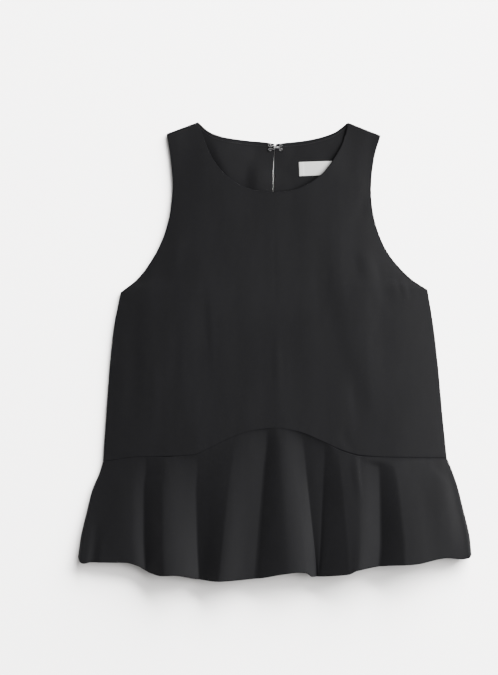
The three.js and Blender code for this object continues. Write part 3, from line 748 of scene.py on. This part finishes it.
def cloth_sides(shape, hemmed):
    """Positions of a panel's outer and inner side, and how rubbed each of them is."""
    point, out, sewn, turned = shape[:4]
    roll = through(SEAM_ROLLS, point[..., 0])
    thickness = WALL + allowance(sewn, SEAM_ALLOWANCE)
    if hemmed:
        thickness += allowance(turned, HEM_ALLOWANCE)
    outer = point - out * (rounded(sewn, roll) + rounded(turned, RIM))[..., None]
    inner = point - out * (thickness - rounded(turned, RIM))[..., None]
    worn = np.exp(-np.minimum(sewn, turned) / WORN_REACH)
    return outer.reshape(-1, 3), inner.reshape(-1, 3), worn.ravel()


def flat_grid(rows, across):
    """A grid whose points carry their place in it, counted row by row."""
    bm = bmesh.new()
    bmesh.ops.create_grid(bm, x_segments=across - 1, y_segments=rows - 1, size=1)
    places = bm.verts.layers.int.new("place")
    for vert in bm.verts:
        column = round((vert.co.x + 1) / 2 * (across - 1))
        row = round((vert.co.y + 1) / 2 * (rows - 1))
        vert[places] = row * across + column
    return bm, places


def inner_side(bm):
    """Makes a closed wall of a sheet, and gives the points of its new side."""
    made = bmesh.ops.extrude_face_region(bm, geom=bm.faces[:], use_keep_orig=True)["geom"]
    return {item for item in made if isinstance(item, bmesh.types.BMVert)}


def cloth(name, material, shape, hemmed=False):
    """A closed panel of cloth: its outer side, its inner side and the rounded rim between."""
    _, out, sewn, _, *slits = shape
    rows, across = sewn.shape
    bm, places = flat_grid(rows, across)
    sides = cloth_sides(shape, hemmed)
    for slit in slits:
        sides = part_slit(bm, places, slit, sides, across)
    outer, inner, worn = sides
    if out[rows // 2, across // 2, 2] < 0:
        bmesh.ops.reverse_faces(bm, faces=bm.faces)
    inside = inner_side(bm)
    for vert in bm.verts:
        positions = inner if vert in inside else outer
        vert.co = Vector(positions[vert[places]]) * MM
    bmesh.ops.recalc_face_normals(bm, faces=bm.faces)
    if bm.calc_volume(signed=True) < 0:
        bmesh.ops.reverse_faces(bm, faces=bm.faces)
    wear = bm.verts.layers.float.new("worn")
    for vert in bm.verts:
        vert[wear] = float(worn[vert[places]])
    bm.verts.layers.int.remove(bm.verts.layers.int["place"])
    return new_piece(name, bm, material)


def part_slit(bm, places, slit, arrays, across):
    """Parts the grid along one column, and adds the places of the slit's right side."""
    rows = range(slit["foot"], len(slit["half_width"]))
    column = {row * across + slit["column"] for row in rows}
    edges = [e for e in bm.edges if all(v[places] in column for v in e.verts)]
    split = bmesh.ops.split_edges(bm, edges=edges)["edges"]
    count = len(arrays[0])
    for vert in {v for e in split for v in e.verts}:
        place = vert[places]
        right = all(f.calc_center_median().x > vert.co.x for f in vert.link_faces)
        if right and place in column:
            vert[places] = count + place // across
    outer, inner, worn = arrays
    half = slit["half_width"]
    at = np.arange(len(half)) * across + slit["column"]
    shift = np.stack((half, 0 * half, 0 * half), axis=1)
    outer = np.vstack((outer, outer[at] + shift))
    inner = np.vstack((inner, inner[at] + shift))
    outer[at] -= shift
    inner[at] -= shift
    return outer, inner, np.concatenate((worn, worn[at]))


def tubes(bm, routes, radius, sides):
    """Adds a round wire or thread along each route, closed at both ends."""
    curve = bpy.data.curves.new("route", "CURVE")
    curve.dimensions = "3D"
    curve.bevel_depth = radius * MM
    curve.bevel_resolution = sides // 2 - 2
    curve.use_fill_caps = True
    for route in routes:
        spline = curve.splines.new("POLY")
        spline.points.add(len(route) - 1)
        for target, place in zip(spline.points, route):
            target.co = (*(Vector(place) * MM), 1)
    holder = bpy.data.objects.new("route", curve)
    mesh = bpy.data.meshes.new_from_object(holder)
    bm.from_mesh(mesh)
    bpy.data.meshes.remove(mesh)
    bpy.data.objects.remove(holder)
    bpy.data.curves.remove(curve)


def closed_up(bm):
    """Merges doubled points and turns the faces outwards."""
    bmesh.ops.remove_doubles(bm, verts=bm.verts, dist=1e-6)
    bmesh.ops.recalc_face_normals(bm, faces=bm.faces)
    return bm


def wire_ring(x, y, start, end, z):
    """Part of a ring that is sewn down, between two angles in degrees."""
    angles = np.radians(np.linspace(start, end, BEND_POINTS))
    radius = FASTENING["ring"]
    return [(x + radius * math.cos(a), y + radius * math.sin(a), z) for a in angles]


def bent_wire(name, half, material):
    """A wire from half of its route, whose other half mirrors it across the fastening."""
    mirrored = [(x, -y, z) for x, y, z in half[-2::-1]]
    route = line_of([*half, *mirrored])(np.linspace(0, 1, WIRE_POINTS))
    route[:, 1] += FASTENING["y"]
    bm = bmesh.new()
    tubes(bm, [route], WIRE, WIRE_SIDES)
    return new_piece(name, closed_up(bm), material)


def mix(start, end, share):
    return start + (end - start) * share


def eye_piece(material):
    """The eye: two rings, and a loop between them that ends in a raised bar."""
    ring, offset = FASTENING["ring"], FASTENING["ring_offset"]
    ring_x, loop_x, bar_x = EYE["ring_x"], EYE["loop_x"], EYE["bar_x"]
    half_width = EYE["loop_half_width"]
    neck = offset - ring
    half = [
        *wire_ring(ring_x, offset, 0, 270, BASE_Z),
        (mix(ring_x, loop_x, 0.35), neck + 0.05, mix(BASE_Z, BAR_Z, 0.2)),
        (mix(ring_x, loop_x, 0.7), mix(neck, half_width, 0.7), mix(BASE_Z, BAR_Z, 0.8)),
        (loop_x, half_width, BAR_Z),
        (mix(loop_x, bar_x, 0.8), 0.6 * half_width, BAR_Z),
        (bar_x, 0, BAR_Z),
    ]
    return bent_wire("sewn_eye", half, material)


def hook_piece(material):
    """The hook: two rings and a doubled wire that turns back over the eye's bar."""
    ring, offset = FASTENING["ring"], FASTENING["ring_offset"]
    ring_x, neck_x, nose_x, tip_x = HOOK["ring_x"], HOOK["neck_x"], HOOK["nose_x"], HOOK["tip_x"]
    pitch = HOOK["half_pitch"]
    nose = [
        (nose_x + WIRE_STEP * math.cos(a), pitch, BAR_Z + WIRE_STEP * math.sin(a))
        for a in np.radians(np.linspace(-90, -270, BEND_POINTS))
    ]
    half = [
        *wire_ring(ring_x, offset, 180, -90, BASE_Z),
        (mix(ring_x, neck_x, 0.5), mix(offset - ring, pitch, 0.2), BASE_Z),
        (neck_x, pitch, BASE_Z),
        (mix(neck_x, nose_x, 0.5), pitch, BASE_Z),
        *nose,
        (mix(nose_x, tip_x, 0.5), pitch, BILL_Z),
        (tip_x - pitch, pitch, BILL_Z),
        (tip_x - 0.3 * pitch, 0.7 * pitch, BILL_Z),
        (tip_x, 0, BILL_Z),
    ]
    return bent_wire("sewn_hook", half, material)


def label_piece(material):
    """A woven label, folded under at its two ends and a little raised between them."""
    width, length = LABEL["width"], LABEL["length"]
    plain = width / 2 - LABEL_PLAIN
    across = stepped((-width / 2, -plain, plain, width / 2), LABEL_STEP)
    along = stepped((-length / 2, length / 2), LABEL_STEP)
    x, y = np.meshgrid(across, along)
    inward = width / 2 - np.abs(x)
    thickness = LABEL_THICKNESS + LABEL_FOLD * (1 - smooth(inward, *LABEL_TAPER))
    fall = 1 - LABEL_BELLY["fall"] * (y / length * 2) ** 2
    belly = LABEL_BELLY["height"] * hump(x / width * LABEL_BELLY["narrow"]) * fall
    soft = rounded(np.minimum(inward, length / 2 - np.abs(y)), LABEL_RIM)
    bottom = WALL + LABEL_REST + belly
    top = (bottom + thickness - soft).ravel()
    low = (bottom + soft).ravel()
    bm, places = flat_grid(*x.shape)
    inside = inner_side(bm)
    for vert in bm.verts:
        place = vert[places]
        height = low[place] if vert in inside else top[place]
        vert.co = Vector((x.ravel()[place], y.ravel()[place], height)) * MM
    bm.verts.layers.int.remove(places)
    bmesh.ops.recalc_face_normals(bm, faces=bm.faces)
    turn = Matrix.Rotation(math.radians(LABEL["turn"]), 4, "Z")
    move = Matrix.Translation(Vector((LABEL["x"], LABEL["y"], 0)) * MM)
    bmesh.ops.transform(bm, matrix=move @ turn, verts=bm.verts)
    return new_piece("woven_label", bm, material)


# Sewing.


def stitch(start, way, up, look):
    """One stitch's route, which dives into the cloth at both ends."""
    along, rise = (np.array(column)[:, None] for column in zip(*STITCH_ROUTE))
    return start + along * look["length"] * way + rise * look["radius"] * up


def row_of_stitches(line, up, look):
    """Routes of even stitches along a line on the cloth, all clear of the line's ends."""
    lengths = np.linalg.norm(np.diff(line, axis=0), axis=1)
    at = np.concatenate(((0,), np.cumsum(lengths)))
    count = int((at[-1] - 2 * look["clear"]) / look["pitch"])
    starts = look["clear"] + look["pitch"] * np.arange(count)
    routes = []
    for start in starts:
        ends = [np.array([np.interp(t, at, axis) for axis in line.T]) for t in (start, start + 1)]
        way = ends[1] - ends[0]
        normal = np.array([np.interp(start, at, axis) for axis in up.T])
        routes.append(stitch(ends[0], way / np.linalg.norm(way), normal, look))
    return routes


def sewn_thread(name, routes, radius, material):
    """Thread along each route, as one piece."""
    bm = bmesh.new()
    tubes(bm, routes, radius, THREAD_SIDES)
    return new_piece(name, bm, material)


def neck_stitching(shape, material):
    """The understitching inside the back neck, on both sides of the slit."""
    look = NECK_STITCHES
    point, out, *_, slit = shape
    edge = 1 - look["below_edge"] / BODICE_LENGTH
    row = int(np.argmin(np.abs(bodice_rows(BACK_BODICE_GRID[1]) - edge)))
    inner = point[row] - out[row] * WALL
    neck_ends = (LEFT_SHOULDER[1][0], RIGHT_SHOULDER[0][0])
    left, right = (int(np.argmin(np.abs(inner[:, 0] - x))) for x in neck_ends)
    middle = slit["column"]
    routes = []
    for first, last in ((left, middle - 1), (middle + 2, right)):
        routes += row_of_stitches(inner[first:last], -out[row][first:last], look)
    return sewn_thread("neck_understitching", routes, look["radius"], material)


def label_stitching(material):
    """Short stitches that hold the two ends of the label."""
    look = LABEL_STITCHES
    turn = math.radians(LABEL["turn"])
    way = np.array((-math.sin(turn), math.cos(turn), 0))
    across = np.array((math.cos(turn), math.sin(turn), 0))
    top = WALL + LABEL_REST + LABEL_THICKNESS + LABEL_FOLD
    centre = np.array((LABEL["x"], LABEL["y"], top))
    first = -(look["count"] - 1) / 2 * look["pitch"] - look["length"] / 2
    routes = []
    for side in (-1, 1):
        end = centre + side * (LABEL["width"] / 2 - look["from_end"]) * across
        for i in range(look["count"]):
            routes.append(stitch(end + (first + i * look["pitch"]) * way, way, UP, look))
    return sewn_thread("label_stitching", routes, look["radius"], material)


def ring_stitching(material):
    """Thread that whips the four rings of the hook and eye to the neck edge."""
    look = RING_STITCHES
    ring, offset = FASTENING["ring"], FASTENING["ring_offset"]
    reach, slack = look["reach"], look["slack"]
    foot = WALL - look["sunk"]
    over = BASE_Z + WIRE + look["radius"]
    profile = (
        (ring - reach, foot), (ring - WIRE - slack, BASE_Z), (ring - slack, over),
        (ring + slack, over), (ring + WIRE + slack, BASE_Z), (ring + reach, foot),
    )
    routes = []
    for x, outward in ((EYE["ring_x"], -1), (HOOK["ring_x"], 1)):
        for side in (-1, 1):
            centre_y = FASTENING["y"] + side * offset
            for i in range(look["count"]):
                turn = math.radians(look["first"] + look["turn"] * i)
                way_x = outward * math.cos(turn)
                way_y = side * math.sin(turn + look["lean"])
                routes.append([(x + way_x * r, centre_y + way_y * r, z) for r, z in profile])
    return sewn_thread("hook_and_eye_thread", routes, look["radius"], material)


def bar_tack(material):
    """A few threads across the foot of the slit, so that it doesn't tear."""
    look = BAR_TACK
    half = look["width"] / 2
    routes = []
    for i in range(look["count"]):
        y = SLIT[0][0] - look["below_slit"] + look["pitch"] * i
        routes.append([(WAIST_MIDDLE + half * x, y, WALL + lift) for x, lift in TACK_ROUTE])
    return sewn_thread("slit_bar_tack", routes, look["radius"], material)


# Materials.


class Value:
    """An output of a material's node; sums and products of it add Math nodes."""

    def __init__(self, look, socket):
        self.look = look
        self.socket = socket

    def maths(self, operation, first, second):
        return self.look.node("Math", {"operation": operation}, {0: first, 1: second})

    def __add__(self, other):
        return self.maths("ADD", self, other)

    def __radd__(self, other):
        return self.maths("ADD", other, self)

    def __mul__(self, other):
        return self.maths("MULTIPLY", self, other)

    def __rmul__(self, other):
        return self.maths("MULTIPLY", other, self)


class Look:
    """A material under construction."""

    def __init__(self, name):
        self.material = bpy.data.materials.new(name)
        self.material.use_nodes = True
        self.tree = self.material.node_tree
        self.tree.nodes.clear()

    def node(self, kind, settings, sockets, output=0):
        """Adds a node, sets it up, fills or links its sockets and gives one output."""
        made = self.tree.nodes.new("ShaderNode" + kind)
        for setting, value in settings.items():
            setattr(made, setting, value)
        for key, value in sockets.items():
            if isinstance(value, Value):
                self.tree.links.new(value.socket, made.inputs[key])
            else:
                made.inputs[key].default_value = value
        return Value(self, made.outputs[output])

    def places(self):
        return self.node("TexCoord", {}, {}, "Object")

    def mapped(self, where, change):
        """Places turned or stretched for a pattern."""
        return self.node("Mapping", {"vector_type": "POINT"}, {"Vector": where, **change})

    def noise(self, where, size, detail=2.0, distortion=0.0):
        uneven = {"Distortion": distortion, "Detail": detail}
        return self.node("TexNoise", {}, {"Vector": where, "Scale": 1 / (size * MM), **uneven})

    def bands(self, where, direction, pitch, distortion, detail=2.0):
        """Soft parallel bands, such as the plies of a thread or the ribs of a weave."""
        settings = {"wave_type": "BANDS", "bands_direction": direction}
        uneven = {"Distortion": distortion, "Detail": detail}
        sockets = {"Vector": where, "Scale": BAND_PERIOD / (pitch * MM), **uneven}
        return self.node("TexWave", settings, sockets, 1)

    def cells(self, where, size, smoothness=0.5):
        settings = {"feature": "SMOOTH_F1"}
        sockets = {"Vector": where, "Scale": 1 / (size * MM), "Smoothness": smoothness}
        return self.node("TexVoronoi", settings, sockets)

    def step(self, value, low, high, to_low=0.0, to_high=1.0):
        settings = {"interpolation_type": "SMOOTHSTEP"}
        between = {"From Min": low, "From Max": high, "To Min": to_low, "To Max": to_high}
        return self.node("MapRange", settings, {"Value": value, **between})

    def blend(self, factor, first, second):
        return self.node("Mix", {"data_type": "RGBA"}, {0: factor, 6: first, 7: second}, 2)

    def bump(self, height, strength, depth, on=None):
        sockets = {"Height": height, "Strength": strength, "Distance": depth * MM}
        if on is not None:
            sockets["Normal"] = on
        return self.node("Bump", {}, sockets)

    def finish(self, sockets):
        shader = self.node("BsdfPrincipled", {}, sockets)
        made = self.tree.nodes.new("ShaderNodeOutputMaterial")
        self.tree.links.new(shader.socket, made.inputs["Surface"])
        return self.material


def crepe_look():
    """Black crepe: fine pebbles, a slight crinkle along the grain and paler rubbed edges."""
    look = Look("black_crepe")
    where = look.places()
    along_grain = look.mapped(where, {"Scale": (1.0, 0.45, 1.0)})
    pebbles = look.cells(where, 0.75)
    grain = look.noise(where, 0.4, 2.0, 0.6)
    crinkle = look.noise(along_grain, 1.9, 3.0, 1.2)
    drift = look.noise(along_grain, 44, 4.0)
    worn = look.node("Attribute", {"attribute_name": "worn"}, {}, "Fac")
    shade = look.step(drift, 0.35, 0.65)
    color = look.blend(shade, CREPE["deep"], CREPE["even"])
    color = look.blend(look.step(grain, 0.45, 0.75, 0.0, 0.35), color, CREPE["raised"])
    color = look.blend(look.step(crinkle, 0.4, 0.7, 0.0, 0.3), color, CREPE["crinkled"])
    color = look.blend(worn * 0.1, color, CREPE["raised"])
    pebbled = look.bump(pebbles * 0.7 + grain * 0.5, 0.4, 0.1)
    return look.finish({
        "Base Color": color,
        "Roughness": look.step(grain + crinkle * 0.5, 0.45, 1.0, 0.58, 0.72) + worn * 0.2,
        "Specular IOR Level": 0.21,
        "Normal": look.bump(crinkle, 0.35, 0.2, pebbled),
    })


def thread_look(name, dark, pale, gloss):
    """Sewing thread: two plies twisted together, with a soft gloss."""
    look = Look(name)
    where = look.places()
    leaning = look.mapped(where, {"Rotation": (0, 0, math.radians(PLY_LEAN))})
    plies = look.bands(leaning, "X", PLY_PITCH, 0.6, 1.0)
    fuzz = look.noise(where, 0.2, 2.0)
    color = look.blend(plies * 0.7 + fuzz * 0.3, dark, pale)
    return look.finish({
        "Base Color": color,
        "Roughness": look.step(fuzz, 0.3, 0.7, 0.42, 0.6),
        "Specular IOR Level": gloss,
        "Normal": look.bump(plies, 0.5, 0.05),
    })


def satin_look():
    """White woven satin: fine ribs and yarns, and slight soiling."""
    look = Look("white_satin_label")
    where = look.places()
    turned = look.mapped(where, {"Rotation": (0, 0, math.radians(-LABEL["turn"]))})
    ribs = look.bands(turned, "Y", RIB_PITCH, 0.4, 1.0)
    yarns = look.bands(turned, "X", YARN_PITCH, 0.3)
    soil = look.noise(where, 6, 3.0)
    color = look.blend(look.step(soil, 0.4, 0.7), SATIN["clean"], SATIN["soiled"])
    color = look.blend(ribs * 0.15, color, SATIN["ribs"])
    return look.finish({
        "Base Color": color,
        "Roughness": look.step(yarns, 0, 1, 0.42, 0.58),
        "Sheen Weight": 0.1,
        "Normal": look.bump(ribs * 0.6 + yarns * 0.4, 0.5, 0.08),
    })


def nickel_look():
    """Nickel-plated wire: slightly tarnished and finely scuffed."""
    look = Look("nickel_wire")
    where = look.places()
    scuffs = look.noise(where, 0.5, 3.0, 1.0)
    tarnish = look.noise(where, 3.0, 2.0)
    color = look.blend(look.step(tarnish, 0.4, 0.7), NICKEL["bright"], NICKEL["tarnished"])
    return look.finish({
        "Base Color": color,
        "Metallic": 1.0,
        "Roughness": look.step(scuffs, 0.3, 0.7, 0.2, 0.38),
        "Normal": look.bump(scuffs, 0.2, 0.02),
    })


def floor_look():
    """A pale matt floor, all but even."""
    look = Look("pale_floor")
    where = look.places()
    mottle = look.noise(where, 300, 2.0)
    color = look.blend(mottle, *FLOOR_MOTTLE)
    return look.finish({"Base Color": color, "Roughness": 0.9, "Specular IOR Level": 0.1})


# The scene.


def floor_piece():
    bm = bmesh.new()
    bmesh.ops.create_grid(bm, x_segments=4, y_segments=4, size=FLOOR["half_width"])
    bmesh.ops.translate(bm, vec=(0, 0, -FLOOR["drop"]), verts=bm.verts)
    mesh = bpy.data.meshes.new("floor")
    bm.to_mesh(mesh)
    bm.free()
    mesh.materials.append(floor_look())
    floor = bpy.data.objects.new("floor", mesh)
    bpy.context.scene.collection.objects.link(floor)
    return floor


def soft_light(name, kind):
    """A large soft lamp that shines on the garment, with the same glow whatever its size."""
    width, height = kind["size"]
    light = bpy.data.lights.new(name, "AREA")
    light.shape = "RECTANGLE"
    light.size = width
    light.size_y = height
    light.energy = kind["glow"] * math.pi * width * height
    lamp = bpy.data.objects.new(name, light)
    lamp.location = kind["place"]
    lamp.rotation_euler = (-Vector(kind["place"])).to_track_quat("-Z", "Y").to_euler()
    lamp.visible_camera = False
    bpy.context.scene.collection.objects.link(lamp)
    return lamp


def lighting(floor):
    """Even light from all round, a window to the upper right, and a light for the floor alone."""
    world = bpy.data.worlds.new("studio")
    world.use_nodes = True
    background = world.node_tree.nodes["Background"]
    background.inputs["Color"].default_value = ROOM_LIGHT["color"]
    background.inputs["Strength"].default_value = ROOM_LIGHT["strength"]
    bpy.context.scene.world = world
    soft_light("window", WINDOW)
    # The floor has a light of its own, so that it is as pale beside black cloth as in the photo.
    floor_light = soft_light("floor_light", FLOOR_LIGHT)
    receivers = bpy.data.collections.new("lit_floor")
    receivers.objects.link(floor)
    floor_light.light_linking.receiver_collection = receivers


def camera_above():
    """A camera that looks straight down."""
    camera = bpy.data.cameras.new("camera")
    camera.lens = CAMERA["lens"]
    holder = bpy.data.objects.new("camera", camera)
    holder.location = CAMERA["place"]
    bpy.context.scene.collection.objects.link(holder)
    bpy.context.scene.camera = holder


def garment():
    """Makes all pieces, and hides the CAD parts that each one replaces."""
    crepe = crepe_look()
    front = cloth("front_bodice_cloth", crepe, front_bodice_shape())
    back_shape = back_bodice_shape()
    back = cloth("back_bodice_cloth", crepe, back_shape)
    skirt = cloth("front_peplum_cloth", crepe, front_peplum_shape(), hemmed=True)
    under = cloth("back_peplum_cloth", crepe, back_peplum_shape(), hemmed=True)
    label = label_piece(satin_look())
    nickel = nickel_look()
    black_thread = thread_look("black_thread", *BLACK_THREAD)
    white_thread = thread_look("white_thread", *WHITE_THREAD)
    neck_stitching(back_shape, black_thread)
    ring_stitching(black_thread)
    bar_tack(black_thread)
    label_stitching(white_thread)
    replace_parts(front, "front_bodice")
    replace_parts(back, "back_bodice")
    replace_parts(skirt, "front_peplum")
    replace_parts(under, "back_peplum")
    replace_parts(label, "neck_label")
    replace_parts(hook_piece(nickel), "hook")
    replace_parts(eye_piece(nickel), "eye")


garment()
lighting(floor_piece())
camera_above()
